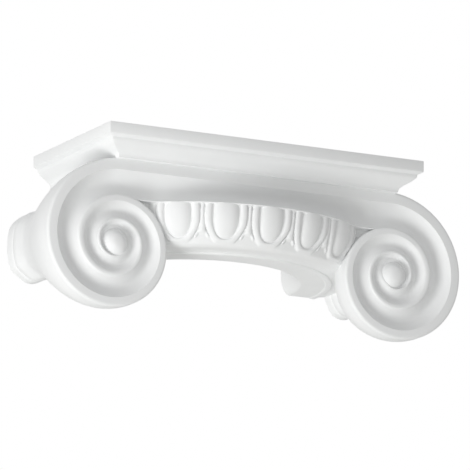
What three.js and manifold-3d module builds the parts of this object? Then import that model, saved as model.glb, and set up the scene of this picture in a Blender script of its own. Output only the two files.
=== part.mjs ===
// Ionic half capital of cast hard foam, for a half column on a wall.
// X runs to the right, Y from the front into the wall, Z up, in millimetres.
// The geometry is drawn with Y = 0 on the wall and Z = 0 on the abacus top,
// then lowered or raised so that the origin lies on the wall face, at the mount.

import * as THREE from 'three';
import { mergeVertices } from 'three/addons/utils/BufferGeometryUtils.js';
import Module from 'manifold-3d';

// Abacus, half of a square slab with a fascia over a reversed cyma
const ABACUS_WIDTH = 354.5;
const ABACUS_HEIGHT = 31;
const FASCIA_HEIGHT = 11.6;
const FASCIA_SOFFIT_DROP = 2.2;
const FASCIA_SOFFIT_INSET = 4.8;
const CYMA_FOOT_INSET = 19.2;

// Volutes, two spirals on a face set back from the abacus front
const FACE_INSET = 24;
const EYE_OFFSET = 157.3;
const EYE_DROP = 115;
const SPIRAL_SINK = 1.5;
const SECOND_TURN_RADIUS = 48.5;
const THIRD_TURN_RADIUS = 24.5;
const EYE_RADIUS = 13.3;
const EYE_GAP = 1.2;
const EYE_GROOVE_DEPTH = 4.5;
const EYE_GROOVE_SKEW = 0.5;
const EYE_HEIGHT = 6;
const FILLET_WIDTH = 12;
const INNER_FILLET_SHARE = 0.7;
const CHANNEL_DEPTH = 10;

// Canalis between the volutes, its lip swelling forward over the echinus
const LIP_OVERHANG = 5.5;
const LIP_DROP = 71.6;
const LIP_THICKNESS = 0.8;
const SPANDREL_START = 116;
const SPANDREL_DEPTH = 9;
const SPANDREL_DROP = 14;

// Bolsters, the rolls that run from the volutes back to a belt at the wall
const BELT_SPREAD = 20.7;
const BELT_LIFT = 10;
const BELT_WIDTH = 38;
const BELT_RISE = 2.6;
const BELT_GROOVE_DEPTH = 1.2;
const BELT_HUB_SHARE = 0.8;
const RIM_LENGTH = 10;
const FLARE_END_FROM_WALL = 20;

// Outline of the belt at the wall: share of a turn, then X and Z from its centre;
// it leaves the foot of the cyma at NECK_FALL and ends inside the echinus.
const NECK_FALL = [[0, 0, 0], [0.045, 7.5, -17], [0.085, 19.5, -29]];
const BELT_OUTLINE = [
  [0.13, 13, 40], [0.18, 24.5, 27.5], [0.25, 27, 5], [0.33, 23.5, -13], [0.4, 15.5, -21],
  [0.5, 3, -27.5], [0.6, -10.5, -24], [0.68, -17.5, -13], [0.75, -21.5, -2], [0.85, -32, 24], [1, -48, 60],
];

// Height of the belt over the roll, by distance from the wall.
const BELT_PROFILE = [
  [0, BELT_RISE], [9, BELT_RISE], [12, BELT_RISE - BELT_GROOVE_DEPTH], [15, BELT_RISE - 0.2],
  [19, BELT_RISE + 0.4], [25, BELT_RISE - 0.5], [31, BELT_RISE - 1.7], [BELT_WIDTH, 0],
];

// Echinus with egg and dart, a drum about the column's axis
const ECHINUS_RADIUS = 184;
const ECHINUS_LEAN = 11;
const EGG_COUNT_IN_CIRCLE = 24;
const EGGS_EACH_SIDE = 2;
const EGG_HALF_WIDTH = 13.5;
const EGG_HALF_HEIGHT = 20.8;
const EGG_CENTRE_BELOW_LIP = 11.5;
const EGG_RISE = 6.3;
const EGG_TOP_STRETCH = 1.7;
const EGG_FULLNESS = 0.97;
const SHELL_GAP = 2;
const SHELL_WIDTH = 5.2;
const SHELL_RISE = 4.6;
const SHELL_INNER_SHARE = 0.75;
const SHELL_OUTER_SHARE = 0.6;
const SHELL_FOOT_SHARE = 0.7;
const DART_HALF_WIDTH = 1.6;
const DART_RISE = 3.6;
const DART_FOOT_RISE = 0.3;
const EGG_ZONE_HEIGHT = 37.5;

// Underside of the echinus, as rings about the column's axis
const UNDERSIDE_DROP = 113.3;
const FOOT_ROUND = 14;
const FOOT_SHOULDER = 4.2;
const FOOT_FALL_SHARE = 0.6;
const BED_RADIUS = 149;
const BED_RISE = 2.5;
const BEAD_RADIUS = 143.5;
const BEAD_HALF_WIDTH = 3.6;
const BEAD_SINK = 0.9;

// Seat for the half shaft, open below and at the wall
const SHAFT_RADIUS = 106;
const SHAFT_CLEARANCE = 1;
const SEAT_DEPTH = 55;
const SEAT_FLARE_WIDTH = 10;
const SEAT_FLARE_HEIGHT = 20;

// Fineness of the facets
const STEPS_PER_TURN = 32;
const CHANNEL_STEPS = 6;
const EYE_RINGS = [1, 0.86, 0.6, 0.3];
const EGG_RINGS = [0.35, 0.68, 0.9, 1];
const CYMA_STEPS = 7;
const FLARE_STEPS = 9;
const LIP_STEPS = 26;
const LIP_END_STEPS = 4;
const EGG_ROWS_ROUND = 12;
const EGG_CORNER_ROW = 4;
const PLAIN_DRUM_STEPS = 30;
const SEAT_STEPS = 48;
const SEAT_ARC_STEPS = 4;

// Sizes that follow from the ones above
const ABACUS_DEPTH = ABACUS_WIDTH / 2;
const FACE_Y = FACE_INSET - ABACUS_DEPTH;
const BOLSTER_LENGTH = ABACUS_DEPTH - FACE_INSET;
const OVERLAP = 1;
const WELD = 1e-3;
const SPIRAL_START = EYE_DROP - ABACUS_HEIGHT + OVERLAP + SPIRAL_SINK;
const LIP_RADIUS = ECHINUS_RADIUS + LIP_OVERHANG;
const WALL_OVERRUN = 3;
const MOUNT_DROP = (UNDERSIDE_DROP - SEAT_DEPTH) / 2;

const wasm = await Module();
wasm.setup();

const point = (x, y, z) => new THREE.Vector3(x, y, z);
const mix = THREE.MathUtils.lerp;
const smooth = (value, low, high) => THREE.MathUtils.smoothstep(value, low, high);

// A closed body is gathered as triangles, and its shared corners are welded.
class Shell {
  constructor() {
    this.corners = [];
  }

  triangle(a, b, c) {
    for (const corner of [a, b, c]) this.corners.push(corner.x, corner.y, corner.z);
  }

  quad(a, b, c, d) {
    this.triangle(a, b, c);
    this.triangle(a, c, d);
  }

  // Quads between neighbouring rows of points; a closed row joins its end to its start.
  grid(rows, closed = false) {
    for (let row = 0; row + 1 < rows.length; row += 1) {
      const count = rows[row].length;
      const last = closed ? count : count - 1;
      for (let index = 0; index < last; index += 1) {
        const next = (index + 1) % count;
        this.quad(rows[row][index], rows[row][next], rows[row + 1][next], rows[row + 1][index]);
      }
    }
  }

  // Triangles from one ring of points to a point inside it.
  fan(ring, centre, turned = false) {
    ring.forEach((corner, index) => {
      const next = ring[(index + 1) % ring.length];
      if (turned) this.triangle(next, corner, centre);
      else this.triangle(corner, next, centre);
    });
  }

  solid() {
    const loose = new THREE.BufferGeometry();
    loose.setAttribute('position', new THREE.Float32BufferAttribute(this.corners, 3));
    return solidOf(loose);
  }
}

function solidOf(geometry) {
  const bare = geometry.clone();
  bare.deleteAttribute('normal');
  bare.deleteAttribute('uv');
  const welded = mergeVertices(bare, WELD);
  const position = welded.getAttribute('position');
  const corner = (index) => new THREE.Vector3().fromBufferAttribute(position, index);
  const triVerts = [];
  let volume = 0;
  for (let first = 0; first < welded.index.count; first += 3) {
    const [a, b, c] = [0, 1, 2].map((step) => welded.index.getX(first + step));
    if (a === b || b === c || c === a) continue;
    volume += corner(a).dot(corner(b).cross(corner(c)));
    triVerts.push(a, b, c);
  }
  if (volume < 0) triVerts.reverse();
  const mesh = new wasm.Mesh({
    numProp: 3,
    vertProperties: new Float32Array(position.array),
    triVerts: new Uint32Array(triVerts),
    tolerance: WELD,
  });
  mesh.merge();
  return new wasm.Manifold(mesh);
}

function box(low, high) {
  const size = high.clone().sub(low);
  const geometry = new THREE.BoxGeometry(size.x, size.y, size.z);
  const middle = low.clone().add(high).multiplyScalar(0.5);
  return solidOf(geometry.translate(middle.x, middle.y, middle.z));
}

// A smooth curve through the rows [position, value, value, ...] of a short list.
function through(rows, position) {
  const last = rows.length - 1;
  let index = 0;
  while (index < last - 1 && rows[index + 1][0] < position) index += 1;
  const before = rows[Math.max(index - 1, 0)];
  const from = rows[index];
  const to = rows[index + 1];
  const after = rows[Math.min(index + 2, last)];
  const length = to[0] - from[0];
  const share = THREE.MathUtils.clamp((position - from[0]) / length, 0, 1);
  return from.slice(1).map((value, column) => {
    const end = to[column + 1];
    const startSlope = (end - before[column + 1]) / (to[0] - before[0]) * length;
    const endSlope = (after[column + 1] - value) / (after[0] - from[0]) * length;
    const squared = share * share;
    const cubed = squared * share;
    return value * (2 * cubed - 3 * squared + 1) + startSlope * (cubed - 2 * squared + share)
      + end * (3 * squared - 2 * cubed) + endSlope * (cubed - squared);
  });
}

// The abacus is a stack of rectangles that follow the fascia and the cyma.
function abacus() {
  const halfWidth = ABACUS_WIDTH / 2;
  const cymaTop = FASCIA_HEIGHT + FASCIA_SOFFIT_DROP;
  const profile = [[0, 0], [0, FASCIA_HEIGHT]];
  for (let step = 0; step <= CYMA_STEPS; step += 1) {
    const share = step / CYMA_STEPS;
    const inset = mix(FASCIA_SOFFIT_INSET, CYMA_FOOT_INSET, THREE.MathUtils.smootherstep(share, 0, 1));
    profile.push([inset, mix(cymaTop, ABACUS_HEIGHT, share)]);
  }
  const rings = profile.map(([inset, drop]) => [
    point(-halfWidth + inset, WALL_OVERRUN, -drop),
    point(-halfWidth + inset, inset - ABACUS_DEPTH, -drop),
    point(halfWidth - inset, inset - ABACUS_DEPTH, -drop),
    point(halfWidth - inset, WALL_OVERRUN, -drop),
  ]);
  const shell = new Shell();
  shell.grid(rings, true);
  const top = rings[0];
  const bottom = rings[rings.length - 1];
  shell.quad(top[3], top[2], top[1], top[0]);
  shell.quad(bottom[0], bottom[1], bottom[2], bottom[3]);
  return shell.solid();
}

// The outer edge of the volute's fillet, by turns from the top: each turn draws
// in less than the one before by the same ratio, until it meets the eye.
function spiralRadius(turn) {
  const firstStep = SPIRAL_START - SECOND_TURN_RADIUS;
  const ratio = (SECOND_TURN_RADIUS - THIRD_TURN_RADIUS) / firstStep;
  return SPIRAL_START - firstStep * (1 - ratio ** turn) / (1 - ratio);
}

// The sampled turn at which the spiral meets the ring round the eye.
function lastStep() {
  let step = STEPS_PER_TURN;
  while (spiralRadius((step + 1) / STEPS_PER_TURN) > EYE_RADIUS + EYE_GAP) step += 1;
  return step;
}

// Depth of the groove beside the eye, along the innermost turn of the channel;
// it is deepest soon after its start, on the inner upper side of the eye.
function grooveDepth(turn) {
  const along = Math.max(turn + 1 - lastStep() / STEPS_PER_TURN, 0);
  return EYE_GROOVE_DEPTH * Math.sin(Math.PI * along ** EYE_GROOVE_SKEW);
}

// Across one turn: a flat fillet, then a round channel up to the next turn.
function bandSection(turn) {
  const outer = spiralRadius(turn);
  const inner = spiralRadius(Math.min(turn + 1, lastStep() / STEPS_PER_TURN));
  const narrowing = mix(1, INNER_FILLET_SHARE, smooth(turn, 1, 2));
  const fillet = Math.min(FILLET_WIDTH * outer / SPIRAL_START, outer - inner) * narrowing;
  const channel = outer - fillet - inner;
  const fullChannel = SPIRAL_START - spiralRadius(1) - FILLET_WIDTH;
  const section = [{ radius: outer, depth: 0 }];
  for (let step = 0; step <= CHANNEL_STEPS; step += 1) {
    const share = step / CHANNEL_STEPS;
    section.push({
      radius: outer - fillet - channel * share,
      depth: CHANNEL_DEPTH * channel / fullChannel * Math.sin(Math.PI * share) + grooveDepth(turn) * share,
    });
  }
  return section;
}

// The spiral hangs a little below the eye, less so towards its middle.
function heightOverEye(radius, angle = Math.PI / 2) {
  return radius * (Math.sin(angle) - SPIRAL_SINK / SPIRAL_START);
}

function onVolute(turn, radius, depth) {
  const angle = Math.PI / 2 - 2 * Math.PI * turn;
  return point(
    EYE_OFFSET + radius * Math.cos(angle),
    FACE_Y + depth,
    heightOverEye(radius, angle) - EYE_DROP,
  );
}

// A point of the belt's outline at the wall, and the centre it is measured from.
function beltOutline(turn) {
  const centreX = EYE_OFFSET + BELT_SPREAD;
  const centreZ = BELT_LIFT - EYE_DROP;
  const neckX = EYE_OFFSET - centreX;
  const neckZ = OVERLAP - ABACUS_HEIGHT - centreZ;
  const neck = NECK_FALL.map(([share, x, z]) => [share, neckX + x, neckZ + z]);
  const [x, z] = through([...neck, ...BELT_OUTLINE], turn);
  return { x: centreX + x, z: centreZ + z, centreX, centreZ };
}

function beltRise(fromWall) {
  return fromWall >= BELT_WIDTH ? 0 : through(BELT_PROFILE, Math.max(fromWall, 0))[0];
}

// The roll's rings, from the volute's outline to the belt's, right-hand side.
function bolsterRing(front, turns, fromFace) {
  const fromWall = BOLSTER_LENGTH - fromFace;
  const share = smooth(fromFace, RIM_LENGTH, BOLSTER_LENGTH - FLARE_END_FROM_WALL);
  return front.map((edge, index) => {
    const turn = turns[index];
    const belt = beltOutline(turn);
    const out = new THREE.Vector2(belt.x - belt.centreX, belt.z - belt.centreZ).normalize();
    const rise = (beltRise(fromWall) - BELT_RISE) * smooth(turn, 0, 0.1);
    return point(
      mix(edge.x, belt.x, share) + out.x * rise * share,
      FACE_Y + fromFace,
      mix(edge.z, belt.z, share) + out.y * rise * share,
    );
  });
}

function voluteAndBolster() {
  const shell = new Shell();
  const lastBand = lastStep();
  const bands = [];
  for (let step = 0; step <= lastBand; step += 1) {
    const turn = step / STEPS_PER_TURN;
    bands.push(bandSection(turn).map(({ radius, depth }) => onVolute(turn, radius, depth)));
  }
  shell.grid(bands);

  // The eye, a dome in the middle of the spiral, stands in the innermost groove.
  const innerEdge = bands.slice(lastBand - STEPS_PER_TURN, lastBand);
  const eyeRings = [innerEdge.map((band) => band[band.length - 1])];
  for (const share of EYE_RINGS) {
    eyeRings.push(innerEdge.map((band, index) => {
      const turn = (lastBand - STEPS_PER_TURN + index) / STEPS_PER_TURN;
      const foot = grooveDepth(turn);
      return onVolute(turn, EYE_RADIUS * share, foot - (foot + EYE_HEIGHT) * Math.sqrt(1 - share * share));
    }));
  }
  shell.grid(eyeRings.map((ring) => ring.slice().reverse()), true);
  shell.fan(eyeRings[eyeRings.length - 1], onVolute(0, 0, -EYE_HEIGHT), true);

  // The side of the roll starts on the volute's edge and on the canalis section.
  const front = [];
  const turns = [];
  for (let step = 0; step <= STEPS_PER_TURN; step += 1) {
    front.push(bands[step][0]);
    turns.push(step / STEPS_PER_TURN);
  }
  const canalisStep = bands[0].slice(1, -1).reverse();
  const neck = beltOutline(0);
  const inside = beltOutline(1);
  const rows = [CHANNEL_DEPTH + OVERLAP / 2];
  const flareEnd = BOLSTER_LENGTH - BELT_WIDTH;
  for (let step = 0; step < FLARE_STEPS; step += 1) rows.push(mix(RIM_LENGTH, flareEnd, step / FLARE_STEPS));
  for (const [fromWall] of BELT_PROFILE.slice(1).reverse()) rows.push(BOLSTER_LENGTH - fromWall);
  rows.push(BOLSTER_LENGTH + WALL_OVERRUN);
  const rings = [[...front, ...canalisStep]];
  for (const fromFace of rows) {
    const ring = bolsterRing(front, turns, fromFace);
    const share = smooth(fromFace, RIM_LENGTH, BOLSTER_LENGTH);
    canalisStep.forEach((edge, index) => {
      const along = (index + 1) / (canalisStep.length + 1);
      ring.push(point(
        mix(edge.x, mix(inside.x, neck.x, along), share),
        FACE_Y + fromFace,
        mix(edge.z, mix(inside.z, neck.z, along), share),
      ));
    });
    rings.push(ring);
  }
  shell.grid(rings, true);
  const wallRing = rings[rings.length - 1];
  shell.fan(wallRing, point(mix(inside.x, neck.centreX, BELT_HUB_SHARE), WALL_OVERRUN, neck.centreZ));
  return shell.solid();
}

// The turn at which the volute's edge, coming back up, passes the lip's height.
function turnAtLip() {
  const stride = 1 / (STEPS_PER_TURN * STEPS_PER_TURN);
  let turn = 1;
  while (onVolute(turn, spiralRadius(turn), 0).z > -LIP_DROP) turn -= stride;
  return turn;
}

// Points along the lower edge of the channel, from the left eye to the right one:
// the volute's edge at first, then the lip, a circle about the column's axis.
function lipLine() {
  const ends = [];
  const lastTurn = turnAtLip();
  for (let step = 0; step < LIP_END_STEPS; step += 1) {
    const turn = mix(1, lastTurn, step / LIP_END_STEPS);
    ends.push(onVolute(turn, spiralRadius(turn), 0));
  }
  const lipEnd = onVolute(lastTurn, spiralRadius(lastTurn), 0);
  ends.push(point(lipEnd.x, FACE_Y, -LIP_DROP));
  const reach = mix(0, lipEnd.x, (LIP_STEPS - 1) / LIP_STEPS);
  const middle = [];
  for (let step = 0; step <= LIP_STEPS; step += 1) {
    const x = mix(-reach, reach, step / LIP_STEPS);
    const circleY = -Math.sqrt(LIP_RADIUS ** 2 - x ** 2);
    middle.push(point(x, Math.min(circleY, FACE_Y), -LIP_DROP));
  }
  const mirrored = ends.map((end) => point(-end.x, end.y, end.z));
  return [...mirrored, ...middle, ...ends.reverse()];
}

function canalis() {
  const top = onVolute(0, SPIRAL_START, 0).z;
  const filletFoot = onVolute(0, SPIRAL_START - FILLET_WIDTH, 0).z;
  const rings = lipLine().map((lip) => {
    const ring = [point(lip.x, FACE_Y, top)];
    for (let step = 0; step <= CHANNEL_STEPS; step += 1) {
      const share = step / CHANNEL_STEPS;
      const depth = CHANNEL_DEPTH * Math.sin(Math.PI * share);
      const y = mix(FACE_Y, lip.y, share * share) + depth;
      ring.push(point(lip.x, y, mix(filletFoot, lip.z, share)));
    }
    ring.push(point(lip.x, lip.y, lip.z - LIP_THICKNESS));
    ring.push(point(lip.x, WALL_OVERRUN, lip.z - LIP_THICKNESS));
    ring.push(point(lip.x, WALL_OVERRUN, top));
    return ring;
  });
  const shell = new Shell();
  shell.grid(rings, true);
  const middleOf = (ring) => point(ring[0].x, 0, (top - LIP_DROP) / 2);
  shell.fan(rings[0], middleOf(rings[0]), true);
  shell.fan(rings[rings.length - 1], middleOf(rings[rings.length - 1]));
  return shell.solid();
}

// The floor of the channel goes on down beside each volute, over the last egg.
function spandrel() {
  return box(
    point(SPANDREL_START, FACE_Y + SPANDREL_DEPTH, -LIP_DROP - SPANDREL_DROP),
    point(EYE_OFFSET, WALL_OVERRUN, CHANNEL_DEPTH / 2 - LIP_DROP),
  );
}

// The relief is sampled on U-shaped rows round each egg, out to the cell's edge.
function eggCell() {
  const pitch = 2 * Math.PI * ECHINUS_RADIUS / EGG_COUNT_IN_CIRCLE;
  const halfPitch = pitch / 2;
  const top = -EGG_CENTRE_BELOW_LIP;
  const bottom = EGG_ZONE_HEIGHT - EGG_CENTRE_BELOW_LIP;
  const half = Math.floor(EGG_ROWS_ROUND / 2);
  const oval = (width, height, rise) => {
    const upper = height * EGG_TOP_STRETCH;
    const startAngle = Math.asin(-top / upper);
    const row = [];
    for (let step = 0; step <= EGG_ROWS_ROUND; step += 1) {
      const angle = mix(-startAngle, Math.PI + startAngle, step / EGG_ROWS_ROUND);
      const reach = Math.sin(angle) < 0 ? upper : height;
      const down = step % EGG_ROWS_ROUND === 0 ? top : reach * Math.sin(angle);
      row.push({ across: -width * Math.cos(angle), down, rise });
    }
    return row;
  };
  const rows = [];
  for (const share of EGG_RINGS) {
    const height = mix(-top, EGG_HALF_HEIGHT, share);
    const rise = EGG_RISE * Math.sqrt(1 - EGG_FULLNESS * share ** 2);
    rows.push(oval(EGG_HALF_WIDTH * share, height, rise));
  }
  const gapOf = (gap, rise) => oval(EGG_HALF_WIDTH + gap, EGG_HALF_HEIGHT + gap * SHELL_FOOT_SHARE, rise);
  rows.push(gapOf(SHELL_GAP / 2, 0));
  rows.push(gapOf(SHELL_GAP, SHELL_RISE * SHELL_INNER_SHARE));
  rows.push(gapOf(SHELL_GAP + SHELL_WIDTH / 2, SHELL_RISE));
  rows.push(gapOf(SHELL_GAP + SHELL_WIDTH, SHELL_RISE * SHELL_OUTER_SHARE));
  const edge = (inset, rise) => rows[0].map((unused, step) => {
    const fromMiddle = step - half;
    const side = Math.sign(fromMiddle);
    const level = half - Math.abs(fromMiddle);
    if (level <= EGG_CORNER_ROW) {
      return { across: side * (halfPitch - inset), down: mix(top, bottom, level / EGG_CORNER_ROW), rise };
    }
    const along = fromMiddle / (half - EGG_CORNER_ROW);
    return { across: (halfPitch - inset) * along, down: bottom, rise: rise * Math.abs(along) ** 3 };
  });
  rows.push(edge(DART_HALF_WIDTH, DART_FOOT_RISE));
  rows.push(edge(0, DART_RISE));
  return rows;
}

function drumRadius(down) {
  return ECHINUS_RADIUS - ECHINUS_LEAN * (down / EGG_ZONE_HEIGHT) ** 2;
}

// A point of the drum by its angle from the front, radius and height.
function onDrum(angle, radius, z) {
  return point(radius * Math.sin(angle), -radius * Math.cos(angle), z);
}

// The underside in profile, from the egg zone's foot to the axis.
function undersideProfile() {
  const footRadius = drumRadius(EGG_ZONE_HEIGHT);
  const footZ = -LIP_DROP - EGG_ZONE_HEIGHT;
  const bedZ = BED_RISE - UNDERSIDE_DROP;
  return [
    [footRadius - FOOT_SHOULDER, mix(footZ, bedZ, FOOT_FALL_SHARE)],
    [footRadius - FOOT_ROUND, bedZ],
    [BED_RADIUS, bedZ],
    [BEAD_RADIUS + BEAD_HALF_WIDTH, -UNDERSIDE_DROP],
    [BEAD_RADIUS, -UNDERSIDE_DROP - BEAD_SINK],
    [BEAD_RADIUS - BEAD_HALF_WIDTH, -UNDERSIDE_DROP],
  ];
}

function echinus() {
  const shell = new Shell();
  const pitchAngle = 2 * Math.PI / EGG_COUNT_IN_CIRCLE;
  const lipZ = -LIP_DROP - LIP_THICKNESS / 2;
  const topRim = [];
  const footRim = [];
  const cell = eggCell();
  const place = (eggAngle, { across, down, rise }) => {
    const below = down + EGG_CENTRE_BELOW_LIP;
    const share = below / EGG_ZONE_HEIGHT;
    const z = lipZ - share * (EGG_ZONE_HEIGHT + LIP_DROP + lipZ);
    const angle = eggAngle + across / ECHINUS_RADIUS;
    return onDrum(angle, drumRadius(below) + rise, z);
  };
  for (let egg = -EGGS_EACH_SIDE; egg <= EGGS_EACH_SIDE; egg += 1) {
    const eggAngle = egg * pitchAngle;
    const rows = cell.map((row) => row.map((sample) => place(eggAngle, sample)));
    shell.grid(rows);
    // The innermost U is closed across its middle, from its top down.
    const inner = rows[0];
    const last = inner.length - 1;
    for (let step = 0; step < last / 2; step += 1) {
      shell.quad(inner[step + 1], inner[step], inner[last - step], inner[last - step - 1]);
    }
    const leftTop = rows.map((row) => row[0]).reverse();
    const rightTop = rows.map((row) => row[last]);
    topRim.push(...leftTop, ...rightTop.slice(0, -1));
    const foot = rows[rows.length - 1].slice(EGG_CORNER_ROW, last - EGG_CORNER_ROW + 1);
    footRim.push(...foot.slice(0, -1));
    if (egg === EGGS_EACH_SIDE) {
      topRim.push(rightTop[rightTop.length - 1]);
      footRim.push(foot[foot.length - 1]);
    }
  }
  // Behind the eggs the drum is plain; its sides run on round to the back.
  const edgeAngle = (EGGS_EACH_SIDE + 0.5) * pitchAngle;
  const sideSamples = cell[cell.length - 1].slice(0, EGG_CORNER_ROW + 1);
  const columns = [];
  for (let step = 0; step <= PLAIN_DRUM_STEPS; step += 1) {
    const angle = mix(edgeAngle, 2 * Math.PI - edgeAngle, step / PLAIN_DRUM_STEPS);
    columns.push(sideSamples.map((sample) => place(angle, { ...sample, across: 0 })));
  }
  shell.grid(columns.map((column) => column.slice().reverse()));
  for (let step = 1; step < PLAIN_DRUM_STEPS; step += 1) {
    topRim.push(columns[step][0]);
    footRim.push(columns[step][columns[step].length - 1]);
  }
  shell.fan(topRim, point(0, 0, lipZ), true);
  let ring = footRim;
  for (const [radius, z] of undersideProfile()) {
    const next = footRim.map((corner) => onDrum(Math.atan2(corner.x, -corner.y), radius, z));
    shell.grid([ring, next], true);
    ring = next;
  }
  shell.fan(ring, point(0, 0, -UNDERSIDE_DROP));
  return shell.solid();
}

// The seat is cut by a body of revolution with a rounded lower arris.
function seatCut() {
  const radius = SHAFT_RADIUS + SHAFT_CLEARANCE;
  const mouth = UNDERSIDE_DROP;
  const profile = [new THREE.Vector2(0, SEAT_DEPTH - mouth), new THREE.Vector2(radius, SEAT_DEPTH - mouth)];
  for (let step = 0; step <= SEAT_ARC_STEPS; step += 1) {
    const angle = step / SEAT_ARC_STEPS * Math.PI / 2;
    profile.push(new THREE.Vector2(
      radius + SEAT_FLARE_WIDTH * (1 - Math.cos(angle)),
      SEAT_FLARE_HEIGHT * (1 - Math.sin(angle)) - mouth,
    ));
  }
  const below = -mouth - SEAT_FLARE_WIDTH;
  profile.push(new THREE.Vector2(radius + SEAT_FLARE_WIDTH, below), new THREE.Vector2(0, below));
  return solidOf(new THREE.LatheGeometry(profile, SEAT_STEPS).rotateX(Math.PI / 2));
}

function geometryOf(solid) {
  const mesh = solid.getMesh();
  const geometry = new THREE.BufferGeometry();
  geometry.setAttribute('position', new THREE.Float32BufferAttribute(mesh.vertProperties, 3));
  geometry.setIndex([...mesh.triVerts]);
  geometry.computeVertexNormals();
  return geometry;
}

const rightVolute = voluteAndBolster();
const leftVolute = rightVolute.mirror([1, 0, 0]);
const rightSpandrel = spandrel();
const behindWall = box(
  point(-ABACUS_WIDTH, 0, -2 * EYE_DROP),
  point(ABACUS_WIDTH, 2 * ECHINUS_RADIUS, OVERLAP),
);
const capital = abacus()
  .add(canalis())
  .add(echinus())
  .add(rightVolute)
  .add(leftVolute)
  .add(rightSpandrel)
  .add(rightSpandrel.mirror([1, 0, 0]))
  .subtract(seatCut())
  .subtract(behindWall);

const primedFoam = new THREE.MeshStandardMaterial({ color: 0xf1f1ef, roughness: 0.85, metalness: 0 });
const halfCapital = new THREE.Mesh(geometryOf(capital), primedFoam);
halfCapital.name = 'half_capital';
halfCapital.position.z = MOUNT_DROP;

const part = new THREE.Group();
part.add(halfCapital);

export default part;
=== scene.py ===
# %% [markdown]
# # Ionic half capital of primed hard foam
# The capital is one casting, so it is modelled as one closed mesh: abacus,
# canalis, echinus, two volutes with their bolsters and the shaft seat are
# made one after the other, joined, and cut flat on the wall.

# %% Setup
import math

import bmesh
import bpy
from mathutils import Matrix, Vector


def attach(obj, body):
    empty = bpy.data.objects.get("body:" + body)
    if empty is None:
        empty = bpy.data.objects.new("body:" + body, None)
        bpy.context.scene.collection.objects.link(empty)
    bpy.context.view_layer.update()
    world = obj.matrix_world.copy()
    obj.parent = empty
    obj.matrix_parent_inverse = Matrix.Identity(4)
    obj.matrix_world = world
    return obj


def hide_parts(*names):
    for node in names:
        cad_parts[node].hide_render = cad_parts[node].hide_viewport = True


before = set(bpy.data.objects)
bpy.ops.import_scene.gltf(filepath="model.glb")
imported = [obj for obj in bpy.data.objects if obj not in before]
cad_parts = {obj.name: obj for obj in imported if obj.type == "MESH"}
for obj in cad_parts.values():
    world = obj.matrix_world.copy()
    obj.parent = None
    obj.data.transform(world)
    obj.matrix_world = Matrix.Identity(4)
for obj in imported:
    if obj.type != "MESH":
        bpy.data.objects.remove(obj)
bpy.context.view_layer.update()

# %% [markdown]
# ## Sizes in millimetres
# X runs right, Y into the wall, Z up from the abacus top. `RISE` lifts that
# top to its height over the wall mount. `OVERLAP` and `BEHIND` are how far
# pieces run into each other and past the wall before they are joined and cut.

# %% Sizes
MM = 0.001
RISE = 29.15
ABACUS_WIDTH, ABACUS_HEIGHT = 354.5, 31.0
FASCIA_HEIGHT, SOFFIT_DROP, SOFFIT_INSET, CYMA_FOOT_INSET = 11.6, 2.2, 4.8, 19.2
FACE_INSET, EYE_OFFSET, EYE_DROP = 24.0, 157.3, 115.0
SPIRAL_SINK, SECOND_TURN_RADIUS, THIRD_TURN_RADIUS = 1.5, 48.5, 24.5
FILLET_WIDTH, CHANNEL_DEPTH, ARRIS = 12.0, 10.5, 3.0
EYE_RADIUS, EYE_GAP, EYE_GROOVE, EYE_HEIGHT = 13.3, 1.2, 4.5, 5.4
LIP_RADIUS, LIP_DROP, LIP_THICKNESS = 189.5, 70.0, 0.8
BELT_OUT_FROM_EYE, BELT_UP_FROM_EYE = 20.7, 10.0
BELT_WIDTH, BELT_RISE, RIM_LENGTH, FLARE_END_FROM_WALL = 38.0, 2.6, 10.0, 20.0
ECHINUS_RADIUS, ECHINUS_LEAN, EGG_ZONE = 184.0, 11.0, 39.1
EGG_PITCH = math.radians(15)
UNDERSIDE_DROP, BED_RISE, BEAD_RADIUS = 113.3, 2.5, 143.5
SEAT_RADIUS, SEAT_DEPTH, FLARE_WIDTH, FLARE_HEIGHT = 107.0, 55.0, 10.0, 20.0
OVERLAP, BEHIND = 1.0, 3.0
FACE_Y = FACE_INSET - ABACUS_WIDTH / 2
DEEP = -FACE_Y
SPIRAL_START = EYE_DROP - ABACUS_HEIGHT + OVERLAP + SPIRAL_SINK
BELT_X, BELT_Z = EYE_OFFSET + BELT_OUT_FROM_EYE, BELT_UP_FROM_EYE - EYE_DROP

print("volute face at Y", FACE_Y, "mm, spiral starts at radius", SPIRAL_START, "mm")

# %% [markdown]
# ## Helpers
# `made` turns faces given in millimetres into a mesh object, `boolean` joins
# or cuts, and `through` draws a smooth curve through the rows of a short
# list. Points closer together than `SAME_POINT` metres are merged.

# %% Helpers
SAME_POINT, NO_LENGTH = 3e-7, 1e-7


def mix(a, b, t):
    return a + (b - a) * t


def smooth(value, low, high):
    t = min(max((value - low) / (high - low), 0.0), 1.0)
    return t * t * (3 - 2 * t)


def smoother(t):
    return t * t * t * (t * (6 * t - 15) + 10)


def through(rows, at):
    last = len(rows) - 1
    i = 0
    while i < last - 1 and rows[i + 1][0] < at:
        i += 1
    p, a, b, n = rows[max(i - 1, 0)], rows[i], rows[i + 1], rows[min(i + 2, last)]
    span = b[0] - a[0]
    t = min(max((at - a[0]) / span, 0.0), 1.0)
    out = []
    for k in range(1, len(a)):
        m0 = (b[k] - p[k]) / (b[0] - p[0]) * span
        m1 = (n[k] - a[k]) / (n[0] - a[0]) * span
        out.append(a[k] * (2 * t**3 - 3 * t**2 + 1) + m0 * (t**3 - 2 * t**2 + t)
                   + b[k] * (3 * t**2 - 2 * t**3) + m1 * (t**3 - t**2))
    return out


def only(obj):
    bpy.ops.object.select_all(action="DESELECT")
    obj.select_set(True)
    bpy.context.view_layer.objects.active = obj
    return obj


def lift(point):
    return (point[0] * MM, point[1] * MM, (point[2] + RISE) * MM)


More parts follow.
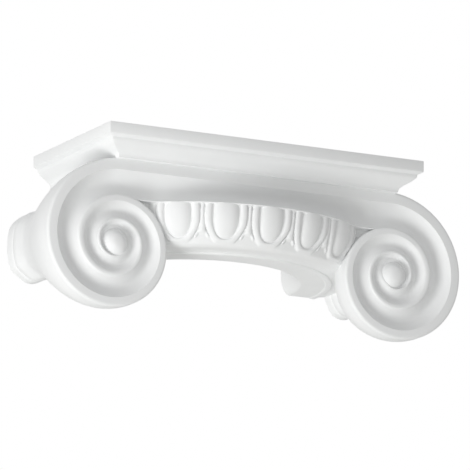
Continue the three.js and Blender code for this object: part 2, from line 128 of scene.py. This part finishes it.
def made(name, faces):
    mesh = bpy.data.meshes.new(name)
    bm = bmesh.new()
    for face in faces:
        bm.faces.new([bm.verts.new(lift(p)) for p in face])
    bmesh.ops.remove_doubles(bm, verts=bm.verts, dist=SAME_POINT)
    bmesh.ops.dissolve_degenerate(bm, edges=bm.edges, dist=NO_LENGTH)
    bmesh.ops.recalc_face_normals(bm, faces=bm.faces)
    if bm.calc_volume(signed=True) < 0:
        bmesh.ops.reverse_faces(bm, faces=bm.faces)
    open_edges = sum(1 for e in bm.edges if len(e.link_faces) != 2)
    bm.to_mesh(mesh)
    bm.free()
    obj = bpy.data.objects.new(name, mesh)
    bpy.context.scene.collection.objects.link(obj)
    print(name, len(mesh.polygons), "faces, open edges", open_edges)
    return obj


def grid(rows, closed=False):
    faces = []
    for a, b in zip(rows, rows[1:]):
        count = len(a)
        for i in range(count if closed else count - 1):
            j = (i + 1) % count
            faces.append([a[i], a[j], b[j], b[i]])
    return faces


def fan(ring, centre):
    return [[p, ring[(i + 1) % len(ring)], centre] for i, p in enumerate(ring)]


def boolean(target, tool, operation):
    only(target)
    modifier = target.modifiers.new(operation.lower(), "BOOLEAN")
    modifier.operation = operation
    modifier.solver = "MANIFOLD"
    modifier.object = tool
    bpy.ops.object.modifier_apply(modifier=modifier.name)
    only(tool)
    bpy.ops.object.delete()
    return target


print("helpers ready")

# %% [markdown]
# ## Abacus
# A full square slab is drawn down from a flat plane, one extruded ring at a
# time: the fascia, its small soffit and the reversed cyma. Its arrises are
# then rounded as a casting's are. The wall half goes later.

# %% Abacus
bpy.ops.mesh.primitive_plane_add(size=ABACUS_WIDTH * MM, location=(0, 0, RISE * MM))
abacus = bpy.context.active_object
abacus.name = "abacus"
CYMA_STEPS, ABACUS_ARRIS = 28, 0.9
cyma_top = FASCIA_HEIGHT + SOFFIT_DROP
profile = [(0.0, FASCIA_HEIGHT)]
for step in range(CYMA_STEPS + 1):
    t = step / CYMA_STEPS
    profile.append((mix(SOFFIT_INSET, CYMA_FOOT_INSET, smoother(t)), mix(cyma_top, ABACUS_HEIGHT, t)))
only(abacus)
bpy.ops.object.mode_set(mode="EDIT")
bpy.ops.mesh.select_all(action="SELECT")
width, drop = ABACUS_WIDTH, 0.0
for inset, below in profile:
    new_width = ABACUS_WIDTH - 2 * inset
    bpy.ops.mesh.extrude_region_move(TRANSFORM_OT_translate={"value": (0, 0, (drop - below) * MM)})
    bpy.ops.transform.resize(value=(new_width / width, new_width / width, 1))
    width, drop = new_width, below
bpy.ops.mesh.select_all(action="SELECT")
bpy.ops.mesh.normals_make_consistent(inside=False)
bpy.ops.object.mode_set(mode="OBJECT")
bpy.ops.object.transform_apply(location=True, rotation=True, scale=True)
bevel = abacus.modifiers.new("arris", "BEVEL")
bevel.width = ABACUS_ARRIS * MM
bevel.segments = 3
bevel.limit_method = "ANGLE"
bevel.angle_limit = math.radians(30)
bpy.ops.object.modifier_apply(modifier="arris")
print("abacus", [round(v * 1000, 1) for v in abacus.dimensions], "mm,", len(abacus.data.polygons), "faces")

# %% [markdown]
# ## Volute and bolster
# One turn of the spiral has a flat fillet and a round channel that ends on
# the next turn. The inner turns' ridges grow softer towards the eye. Behind
# the face the roll narrows to the belt at the wall. Angles along the spiral
# are in turns. Each row of `BELT_OUTLINE` is a turn and a place beside the
# belt's middle, each row of `BELT_PROFILE` a distance from the wall and a rise.

# %% Volute
FIRST_STEP = SPIRAL_START - SECOND_TURN_RADIUS
STEP_RATIO = (SECOND_TURN_RADIUS - THIRD_TURN_RADIUS) / FIRST_STEP
TURN_STEPS, CHANNEL_STEPS, ROLL_STEPS = 120, 20, 30
CANALIS_SOFTNESS = 0.3
INNER_ARRIS = 1.5
EYE_RINGS, EYE_DOME_POWER = (1, 0.97, 0.93, 0.88, 0.81, 0.7, 0.55, 0.38, 0.2), 3.2
ARRIS_ANGLES = [math.radians(a) for a in (0, 18, 36, 54, 72, 90)]


def spiral(turn):
    return SPIRAL_START - FIRST_STEP * (1 - STEP_RATIO**turn) / (1 - STEP_RATIO)


LAST_BAND = next(i for i in range(TURN_STEPS, 9 * TURN_STEPS)
                 if spiral((i + 1) / TURN_STEPS) <= EYE_RADIUS + EYE_GAP)
LAST_TURN = LAST_BAND / TURN_STEPS
FULL_CHANNEL = SPIRAL_START - spiral(1) - FILLET_WIDTH


def on_volute(turn, radius, depth):
    angle = math.pi / 2 - 2 * math.pi * turn
    sink = SPIRAL_SINK / SPIRAL_START * radius
    return (EYE_OFFSET + radius * math.cos(angle), FACE_Y + depth, radius * math.sin(angle) - sink - EYE_DROP)


def edge_depth(turn):
    fade = 1 - smooth(turn, LAST_TURN - 0.35, LAST_TURN)
    return mix(ARRIS, INNER_ARRIS, smooth(turn, 0.72, 1.0)) * fade


def groove(turn):
    along = turn + 1 - LAST_TURN
    return EYE_GROOVE * smooth(along, 0, 0.3) * (1 - smooth(along, 0.7, 1))


def hollow(t, softness):
    return mix(max(1 - (2 * t - 1) ** 2, 0) ** 0.7, math.sin(math.pi * t) ** 2, softness)


def band(turn):
    outer, inner = spiral(turn), spiral(min(turn + 1, LAST_TURN))
    inner_depth = edge_depth(turn + 1) if turn + 1 < LAST_TURN else groove(turn)
    narrower = mix(1, 0.7, smooth(turn, 1, 2))
    fillet = min(FILLET_WIDTH * outer / SPIRAL_START * narrower, 0.6 * (outer - inner))
    channel = outer - fillet - inner
    deep = CHANNEL_DEPTH * channel / FULL_CHANNEL
    arris = min(ARRIS, fillet * mix(0.35, 0.5, smooth(turn, 0.8, 1.2)))
    rows = [(outer - arris * (1 - math.cos(a)), edge_depth(turn) * (1 - math.sin(a))) for a in ARRIS_ANGLES]
    softness = CANALIS_SOFTNESS + 0.3 * smooth(turn, 0, 0.2) + 0.2 * smooth(turn, 0.5, 1.2)
    for step in range(CHANNEL_STEPS + 1):
        t = step / CHANNEL_STEPS
        rows.append((outer - fillet - channel * t, deep * hollow(t, softness) + inner_depth * t * t))
    return rows


NECK_X, NECK_Z = EYE_OFFSET - BELT_X, OVERLAP - ABACUS_HEIGHT - BELT_Z
BELT_OUTLINE = [
    (0, NECK_X, NECK_Z), (0.045, NECK_X + 7.5, NECK_Z - 17), (0.085, NECK_X + 19.5, NECK_Z - 29),
    (0.13, 13, 40), (0.18, 24.5, 27.5), (0.25, 27, 5), (0.33, 23.5, -13), (0.4, 15.5, -21),
    (0.5, 3, -27.5), (0.6, -10.5, -24), (0.68, -17.5, -13), (0.75, -21.5, -2), (0.85, -32, 24), (1, -48, 60),
]
BELT_PROFILE = [
    (0, BELT_RISE), (9.5, BELT_RISE), (11, 2.3), (12.3, 1.7), (13.6, 2.1), (16, BELT_RISE), (19, 3.0),
    (25, 2.1), (31, 0.9), (35, 0.2), (BELT_WIDTH, 0), (BELT_WIDTH + 2, 0),
]


def belt_rise(from_wall):
    if from_wall < 0:
        return BELT_RISE
    if from_wall < BELT_WIDTH:
        return through(BELT_PROFILE, from_wall)[0]
    return 0.0


def roll_ring(front, turns, depth):
    t = smooth(depth, RIM_LENGTH, DEEP - FLARE_END_FROM_WALL)
    over_outline = belt_rise(DEEP - depth) - BELT_RISE
    ring = []
    for (x, _, z), turn in zip(front, turns):
        bx, bz = through(BELT_OUTLINE, turn)
        out = Vector((bx, bz)).normalized()
        rise = over_outline * smooth(turn, 0, 0.1) * t
        ring.append((mix(x, BELT_X + bx, t) + out.x * rise, FACE_Y + depth,
                     mix(z, BELT_Z + bz, t) + out.y * rise))
    return ring


def eye(edge):
    rings = [edge]
    first = LAST_BAND - TURN_STEPS
    for t in EYE_RINGS:
        ring = []
        for step in range(first, LAST_BAND):
            low = groove(step / TURN_STEPS)
            depth = low - (low + EYE_HEIGHT) * (1 - t**EYE_DOME_POWER)
            ring.append(on_volute(step / TURN_STEPS, EYE_RADIUS * t, depth))
        rings.append(ring)
    return grid(rings, True) + fan(rings[-1], on_volute(0, 0, -EYE_HEIGHT))


def bolster(bands):
    front = [bands[step][0] for step in range(TURN_STEPS + 1)]
    turns = [step / TURN_STEPS for step in range(TURN_STEPS + 1)]
    canalis_side = bands[0][-2:0:-1]
    inside, neck = through(BELT_OUTLINE, 1), through(BELT_OUTLINE, 0)
    rolls = [front + canalis_side]
    past_channel = CHANNEL_DEPTH + 0.8
    depths = [4, 5.5, 7.5, 9.5, past_channel]
    depths += [mix(past_channel, DEEP - BELT_WIDTH, step / ROLL_STEPS) for step in range(1, ROLL_STEPS + 1)]
    depths += [DEEP - w for w in (36, 34, 32, 30, 28, 26, 24, 22, 19.5, 17, 15, 13.6, 12.3, 11, 9.5, 4)]
    for depth in depths + [DEEP + BEHIND]:
        ring = roll_ring(front, turns, depth)
        t = smooth(depth, RIM_LENGTH, DEEP)
        for i, (x, y, z) in enumerate(canalis_side):
            along = (i + 1) / (len(canalis_side) + 1)
            ring.append((mix(x, BELT_X + mix(inside[0], neck[0], along), t), max(y, FACE_Y + depth),
                         mix(z, BELT_Z + mix(inside[1], neck[1], along), t)))
        rolls.append(ring)
    return grid(rolls, True) + fan(rolls[-1], (BELT_X - 8, BEHIND, BELT_Z))


def volute():
    bands = []
    for step in range(LAST_BAND + 1):
        turn = step / TURN_STEPS
        bands.append([on_volute(turn, r, d) for r, d in band(turn)])
    eye_edge = [bands[step][-1] for step in range(LAST_BAND - TURN_STEPS, LAST_BAND)]
    return made("volute_right", grid(bands) + eye(eye_edge) + bolster(bands))


right = volute()
only(right)
bpy.ops.object.duplicate()
left = bpy.context.active_object
left.name = "volute_left"
bpy.ops.transform.resize(value=(-1, 1, 1), center_override=(0, 0, 0))
bpy.ops.object.transform_apply(location=True, rotation=True, scale=True)
bpy.ops.object.mode_set(mode="EDIT")
bpy.ops.mesh.select_all(action="SELECT")
bpy.ops.mesh.normals_make_consistent(inside=False)
bpy.ops.object.mode_set(mode="OBJECT")
print("volutes", [round(v * 1000, 1) for v in right.dimensions], "mm")

# %% [markdown]
# ## Canalis
# The channel between the volutes keeps its flat fillet above and sweeps
# forward below to a thin lip, an arc about the column's axis. At its ends it
# follows the volute's own edge.

# %% Canalis
LIP_STEPS, LIP_END_STEPS, LIP_JOIN, LIP_NOSE = 120, 12, 8.0, 0.4
TOP_BACK = 0.3


def lip_line():
    turn = 1.0
    while on_volute(turn, spiral(turn), 0)[2] > -LIP_DROP:
        turn -= 0.0005
    ends = []
    for step in range(LIP_END_STEPS):
        at = mix(1, turn, step / LIP_END_STEPS)
        ends.append(on_volute(at, spiral(at), edge_depth(at)))
    end_x, end_depth = on_volute(turn, spiral(turn), 0)[0], edge_depth(turn)
    middle = []
    for step in range(LIP_STEPS + 1):
        x = mix(-end_x, end_x, step / LIP_STEPS)
        circle = math.sqrt(LIP_RADIUS**2 - x**2)
        over = circle + FACE_Y
        forward = 0.5 * (over + math.sqrt(over**2 + LIP_JOIN))
        middle.append((x, FACE_Y + end_depth * smooth(abs(x), 80, end_x) - forward, -LIP_DROP))
    return [(-x, y, z) for x, y, z in ends] + middle + ends[::-1]


def canalis():
    top = on_volute(0, SPIRAL_START, 0)[2]
    foot = on_volute(0, SPIRAL_START - FILLET_WIDTH, 0)[2]
    rings = []
    for x, y, z in lip_line():
        ring = [(x, FACE_Y + TOP_BACK, top), (x, FACE_Y, top - OVERLAP)]
        for step in range(CHANNEL_STEPS + 1):
            t = step / CHANNEL_STEPS
            depth = CHANNEL_DEPTH * hollow(t, CANALIS_SOFTNESS)
            ring.append((x, mix(FACE_Y, y, t * t) + depth, mix(foot, z, t)))
        ring.append((x, y + LIP_NOSE, z - LIP_THICKNESS))
        ring += [(x, BEHIND, z - LIP_THICKNESS), (x, BEHIND, top)]
        rings.append(ring)
    faces = grid(rings, True)
    for ring in (rings[0], rings[-1]):
        faces += fan(ring, (ring[0][0], 0, (top - LIP_DROP) / 2))
    return made("canalis", faces)


canal = canalis()
print("lip stands", round(LIP_RADIUS - ABACUS_WIDTH / 2, 1), "mm in front of the abacus")

# %% [markdown]
# ## Echinus
# A drum about the column's axis that leans in to its foot. Each cell of the
# relief holds an egg, the groove round it, a U-shaped shell and half a dart
# on either side, all drawn as one height field over the drum. `relief` takes
# how far a point is across from the egg's middle line and down from the lip,
# and gives the tallest of the forms there.

# %% Echinus
EGG_HALF_WIDTH, EGG_HALF_HEIGHT, EGG_CENTRE, EGG_POWER = 13.4, 22.0, 11.9, 2.3
EGG_RISE, EGG_FULLNESS, EGG_TOP_STRETCH = 6.3, 2.2, 1.3
SHELL_RISE, SHELL_GAP, SHELL_WIDTH, SHELL_FOOT_WIDTH, FLOOR_RISE = 4.6, 1.2, 6.8, 4.2, 2.2
DART_RISE, DART_HALF_WIDTH, DART_SPREAD, DART_END = 3.6, 1.9, 2.2, 31.0
BARB_RISE, BARB_HALF_WIDTH, BARB = 1.6, 1.4, (2.0, 25.5, 6.6, 32.5)
UNDER_LIP_RISE, UNDER_LIP_HEIGHT, ZONE_FADE = 3.0, 4.0, 2.5
EGG_COUNT = 5
BEAD_HALF_WIDTH, BEAD_RISE, BEAD_STEPS = 3.6, 0.9, 8
HALF_PITCH = EGG_PITCH * ECHINUS_RADIUS / 2


def ridge(value, half):
    t = min(abs(value) / half, 1.0)
    return math.sqrt(max(1 - t * t, 0.0))


def segment(px, py, ax, ay, bx, by):
    t = min(max(((px - ax) * (bx - ax) + (py - ay) * (by - ay)) / ((bx - ax) ** 2 + (by - ay) ** 2), 0), 1)
    return math.hypot(px - mix(ax, bx, t), py - mix(ay, by, t))


def relief(across, down):
    a, d = abs(across), down - EGG_CENTRE
    high = EGG_HALF_HEIGHT if d > 0 else EGG_HALF_HEIGHT * EGG_TOP_STRETCH
    e = ((a / EGG_HALF_WIDTH) ** EGG_POWER + (abs(d) / high) ** EGG_POWER) ** (1 / EGG_POWER)
    slope = math.hypot(a / EGG_HALF_WIDTH**2, d / high**2) / max(e, 1e-6)
    gap = (e - 1) / max(slope, 1e-6)
    low = smooth(down, EGG_CENTRE + 6, EGG_CENTRE + EGG_HALF_HEIGHT)
    height = EGG_RISE * max(1 - e**EGG_FULLNESS, 0.0) ** 0.5 if e < 1 else 0.0
    wide = mix(SHELL_WIDTH, SHELL_FOOT_WIDTH, low)
    shell = SHELL_RISE * mix(1, 0.6, low) * ridge(gap - SHELL_GAP - wide / 2, wide / 2 + 0.5) ** 0.6
    ground = FLOOR_RISE * mix(1, 0.45, low) * (1 - smooth(gap, wide, wide + 3))
    from_dart = HALF_PITCH - a
    dart_width = DART_HALF_WIDTH + DART_SPREAD * smooth(down, 12, 28)
    dart = DART_RISE * ridge(from_dart, dart_width) ** 0.8 * (1 - smooth(down, DART_END - 3.5, DART_END))
    barb = BARB_RISE * ridge(segment(from_dart, down, *BARB), BARB_HALF_WIDTH)
    under_lip = UNDER_LIP_RISE * (1 - smooth(down, 0, UNDER_LIP_HEIGHT))
    fade = 1 - smooth(down, EGG_ZONE - ZONE_FADE, EGG_ZONE)
    return max(height, shell, ground, dart, barb, under_lip) * fade


def drum_radius(down):
    return ECHINUS_RADIUS - ECHINUS_LEAN * (down / EGG_ZONE) ** 2


def underside(foot_z):
    bed = BED_RISE - UNDERSIDE_DROP
    foot_r = drum_radius(EGG_ZONE)
    rows = [(foot_r - 1.6, foot_z - 0.9), (foot_r - 4.2, foot_z - 1.9), (foot_r - 8, foot_z - 2.7),
            (foot_r - 14, bed - 0.1), (155, bed - 0.3), (151, bed - 0.8), (148.8, bed - 1.3),
            (147.4, bed - 1.8)]
    for step in range(BEAD_STEPS + 1):
        a = math.pi * step / BEAD_STEPS
        rows.append((BEAD_RADIUS + BEAD_HALF_WIDTH * math.cos(a), -UNDERSIDE_DROP - BEAD_RISE * math.sin(a)))
    return rows + [(139.0, -UNDERSIDE_DROP), (100.0, -UNDERSIDE_DROP)]


def echinus():
    edge = EGG_COUNT / 2 * EGG_PITCH
    across_steps, down_steps, side_steps = 300, 56, 60
    angles = [mix(-edge, edge, i / across_steps) for i in range(across_steps + 1)]
    angles += [mix(edge, 2 * math.pi - edge, i / side_steps) for i in range(1, side_steps)]
    lip_z, foot_z = -LIP_DROP - LIP_THICKNESS * 0.4, -LIP_DROP - EGG_ZONE
    under = underside(foot_z)
    columns = []
    for angle in angles:
        in_zone = abs(angle) <= edge + 1e-9
        cell = (angle + EGG_PITCH / 2) % EGG_PITCH - EGG_PITCH / 2
        column = []
        for i in range(down_steps + 1):
            down = EGG_ZONE * i / down_steps
            rise = relief(cell * ECHINUS_RADIUS, down) if in_zone else 0.0
            radius = drum_radius(down) + rise
            z = mix(lip_z, foot_z, i / down_steps)
            column.append((radius * math.sin(angle), -radius * math.cos(angle), z))
        column += [(r * math.sin(angle), -r * math.cos(angle), z) for r, z in under]
        columns.append(column)
    faces = grid(columns + [columns[0]])
    faces += fan([c[0] for c in columns], (0, 0, lip_z))
    faces += fan([c[-1] for c in columns], (0, 0, -UNDERSIDE_DROP))
    return made("echinus", faces)


drum = echinus()
print("egg and dart at", round(math.degrees(EGG_PITCH), 1), "degrees per cell")

# %% [markdown]
# ## Joining and cutting
# The pieces become one solid. A filler closes the corner between the lip and
# each volute. The seat is a spun profile with a rounded mouth, and the wall
# cuts everything off at Y = 0.

# %% Joining
SEAT_SPIN_STEPS, SEAT_ARC_STEPS, SEAT_EDGE, PAST_MOUTH, SEAT_SAME_POINT = 180, 12, 1, 20, 2e-6
FILLER_START, FILLER_BACK, FILLER_UP, FILLER_DOWN = 116.0, 9, 5, 14
SMOOTH_BELOW = math.radians(35)


def block(name, low, high):
    bpy.ops.mesh.primitive_cube_add(size=1)
    obj = bpy.context.active_object
    obj.name = name
    low, high = Vector(lift(low)), Vector(lift(high))
    obj.scale = high - low
    obj.location = (low + high) / 2
    only(obj)
    bpy.ops.object.transform_apply(location=True, rotation=True, scale=True)
    return obj


def seat():
    ceiling, mouth = SEAT_DEPTH - UNDERSIDE_DROP, -UNDERSIDE_DROP
    profile = [(0, ceiling), (SEAT_RADIUS - SEAT_EDGE, ceiling), (SEAT_RADIUS, ceiling - SEAT_EDGE)]
    for step in range(SEAT_ARC_STEPS + 1):
        a = math.pi / 2 * step / SEAT_ARC_STEPS
        out, above = FLARE_WIDTH * (1 - math.cos(a)), FLARE_HEIGHT * (1 - math.sin(a))
        profile.append((SEAT_RADIUS + out, mouth + above))
    profile += [(SEAT_RADIUS + FLARE_WIDTH, mouth - PAST_MOUTH), (0, mouth - PAST_MOUTH)]
    mesh = bpy.data.meshes.new("seat")
    mesh.from_pydata([lift((r, 0, z)) for r, z in profile], [(i, i + 1) for i in range(len(profile) - 1)], [])
    obj = bpy.data.objects.new("seat", mesh)
    bpy.context.scene.collection.objects.link(obj)
    only(obj)
    bpy.ops.object.mode_set(mode="EDIT")
    bpy.ops.mesh.select_all(action="SELECT")
    bpy.ops.mesh.spin(steps=SEAT_SPIN_STEPS, angle=2 * math.pi, center=(0, 0, 0), axis=(0, 0, 1))
    bpy.ops.mesh.select_all(action="SELECT")
    bpy.ops.mesh.remove_doubles(threshold=SEAT_SAME_POINT)
    bpy.ops.mesh.normals_make_consistent(inside=False)
    bpy.ops.object.mode_set(mode="OBJECT")
    return obj


capital = abacus
for tool in (canal, drum, right, left):
    boolean(capital, tool, "UNION")
for hand in (-1, 1):
    xs = sorted((hand * FILLER_START, hand * EYE_OFFSET))
    filler = block("filler", (xs[0], FACE_Y + FILLER_BACK, -LIP_DROP - FILLER_DOWN),
                   (xs[1], BEHIND, FILLER_UP - LIP_DROP))
    boolean(capital, filler, "UNION")
boolean(capital, seat(), "DIFFERENCE")
boolean(capital, block("wall", (-400, 0, -300), (400, 400, 50)), "DIFFERENCE")
capital.name = "half_capital_cast"
capital.data.name = "half_capital_cast"
only(capital)
bpy.ops.object.shade_smooth_by_angle(angle=SMOOTH_BELOW)
triangles = sum(len(p.vertices) - 2 for p in capital.data.polygons)
print("capital", [round(v * 1000, 1) for v in capital.dimensions], "mm,", triangles, "triangles")

# %% [markdown]
# ## Primed foam
# Hard foam comes out of its mould with a smooth skin and gets a sprayed
# white primer: very fine orange peel, faint flow marks a few centimetres
# long, a slightly uneven tone, and dull spots where the primer is thin.

# %% Material
def linear(hex_colour):
    out = []
    for i in (0, 2, 4):
        c = int(hex_colour[i:i + 2], 16) / 255
        out.append(c / 12.92 if c <= 0.04045 else ((c + 0.055) / 1.055) ** 2.4)
    return (*out, 1)


def add(tree, kind, at, **values):
    node = tree.nodes.new(kind)
    node.location = at
    for key, value in values.items():
        if key in node.inputs:
            node.inputs[key].default_value = value
        else:
            setattr(node, key, value)
    return node


def primed_foam():
    material = bpy.data.materials.new("white sprayed primer on moulded hard foam")
    material.use_nodes = True
    tree = material.node_tree
    tree.nodes.clear()
    link = tree.links.new
    out = add(tree, "ShaderNodeOutputMaterial", (700, 0))
    shader = add(tree, "ShaderNodeBsdfPrincipled", (400, 0), IOR=1.46)
    where = add(tree, "ShaderNodeTexCoord", (-900, 0))
    tone = add(tree, "ShaderNodeTexNoise", (-600, 250), Scale=28.0, Detail=3.0, Roughness=0.5)
    colour = add(tree, "ShaderNodeMix", (-100, 250), data_type="RGBA")
    colour.inputs[6].default_value = linear("F2F3F3")
    colour.inputs[7].default_value = linear("ECEDED")
    thin = add(tree, "ShaderNodeTexNoise", (-600, 0), Scale=120.0, Detail=4.0, Roughness=0.6)
    sheen = add(tree, "ShaderNodeMapRange", (-300, 0))
    for name, value in (("From Min", 0.35), ("From Max", 0.7), ("To Min", 0.62), ("To Max", 0.78)):
        sheen.inputs[name].default_value = value
    peel = add(tree, "ShaderNodeTexNoise", (-600, -250), Scale=900.0, Detail=2.0, Roughness=0.45)
    flow = add(tree, "ShaderNodeTexNoise", (-600, -500), Scale=45.0, Detail=2.0, Roughness=0.4)
    fine = add(tree, "ShaderNodeBump", (-100, -250), Strength=0.10, Distance=0.00012)
    broad = add(tree, "ShaderNodeBump", (100, -400), Strength=0.25, Distance=0.0004)
    for node in (tone, thin, peel, flow):
        link(where.outputs["Object"], node.inputs["Vector"])
    link(tone.outputs["Fac"], colour.inputs["Factor"])
    link(colour.outputs[2], shader.inputs["Base Color"])
    link(thin.outputs["Fac"], sheen.inputs["Value"])
    link(sheen.outputs["Result"], shader.inputs["Roughness"])
    link(peel.outputs["Fac"], fine.inputs["Height"])
    link(flow.outputs["Fac"], broad.inputs["Height"])
    link(fine.outputs["Normal"], broad.inputs["Normal"])
    link(broad.outputs["Normal"], shader.inputs["Normal"])
    link(shader.outputs["BSDF"], out.inputs["Surface"])
    return material


capital.data.materials.clear()
capital.data.materials.append(primed_foam())
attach(capital, "root")
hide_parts("half_capital")
print("material", capital.data.materials[0].name)

# %% [markdown]
# ## Studio and camera
# A pale floor far below, a white room, a large soft light low on the left,
# a weak one above it and a weak one low in front. Two more light the back
# and the right side, which the photograph leaves out. The camera looks up
# from the lower left, as in the photograph.

# %% Studio
FLOOR_SIZE, FLOOR_Z = 80, -2.3
FILL_STRENGTH = 0.515
MIDDLE = Vector((0, -0.08, -0.05))

bpy.ops.mesh.primitive_plane_add(size=FLOOR_SIZE, location=(0, 0, FLOOR_Z))
floor = bpy.context.active_object
floor.name = "floor"
matt = bpy.data.materials.new("pale studio floor")
matt.use_nodes = True
paint = matt.node_tree.nodes["Principled BSDF"]
paint.inputs["Base Color"].default_value = linear("E8E8E6")
paint.inputs["Roughness"].default_value = 0.9
floor.data.materials.append(matt)

world = bpy.data.worlds.new("white room")
world.use_nodes = True
bpy.context.scene.world = world
tree = world.node_tree
tree.nodes.clear()
out = add(tree, "ShaderNodeOutputWorld", (400, 0))
seen = add(tree, "ShaderNodeBackground", (0, 100), Color=(1, 1, 1, 1), Strength=1.0)
fill = add(tree, "ShaderNodeBackground", (0, -100), Color=(1, 1, 1, 1), Strength=FILL_STRENGTH)
path = add(tree, "ShaderNodeLightPath", (-200, 300))
either = add(tree, "ShaderNodeMixShader", (200, 0))
tree.links.new(path.outputs["Is Camera Ray"], either.inputs["Fac"])
tree.links.new(fill.outputs["Background"], either.inputs[1])
tree.links.new(seen.outputs["Background"], either.inputs[2])
tree.links.new(either.outputs["Shader"], out.inputs["Surface"])


def softbox(name, place, size, watts):
    data = bpy.data.lights.new(name, "AREA")
    data.shape = "SQUARE"
    data.size = size
    data.energy = watts
    lamp = bpy.data.objects.new(name, data)
    lamp.location = place
    lamp.rotation_euler = (MIDDLE - Vector(place)).to_track_quat("-Z", "Y").to_euler()
    bpy.context.scene.collection.objects.link(lamp)
    return lamp


softbox("key, low left", (-2.35, -1.2, -1.4), 1.3, 46.5)
softbox("weak, high left", (-2.4, -0.9, 0.9), 1.5, 4)
softbox("weak, low front", (-0.2, -1.5, -1.25), 1.0, 2)
softbox("overhead, behind", (0.4, 1.7, 2.4), 2.5, 20)
softbox("weak, right", (2.6, 0.7, 0.3), 2.0, 8)

AZIMUTH, ELEVATION, ROLL = math.radians(27.16), math.radians(12.60), math.radians(0.54)
DISTANCE, LENS, SHIFT_RIGHT, SHIFT_UP = 6.312, 477.8, 0.00699, 0.0105
right_way = Vector((math.cos(AZIMUTH), -math.sin(AZIMUTH), 0))
forward = Vector((math.sin(AZIMUTH) * math.cos(ELEVATION), math.cos(AZIMUTH) * math.cos(ELEVATION),
                  math.sin(ELEVATION)))
up = right_way.cross(forward)
aim = Vector((0, -ABACUS_WIDTH / 4, RISE - 90)) * MM + right_way * SHIFT_RIGHT + up * SHIFT_UP
side = right_way * math.cos(ROLL) + up * math.sin(ROLL)
head = up * math.cos(ROLL) - right_way * math.sin(ROLL)
lens = bpy.data.cameras.new("camera")
lens.lens = LENS
lens.sensor_width = 36
lens.clip_end = 50
camera = bpy.data.objects.new("camera", lens)
bpy.context.scene.collection.objects.link(camera)
matrix = camera.matrix_world.copy()
for row in range(3):
    matrix[row][0], matrix[row][1], matrix[row][2] = side[row], head[row], -forward[row]
    matrix[row][3] = (aim - forward * DISTANCE)[row]
camera.matrix_world = matrix
bpy.context.scene.camera = camera
bpy.context.scene.view_settings.view_transform = "Standard"
print("camera at", [round(v, 3) for v in camera.matrix_world.translation])
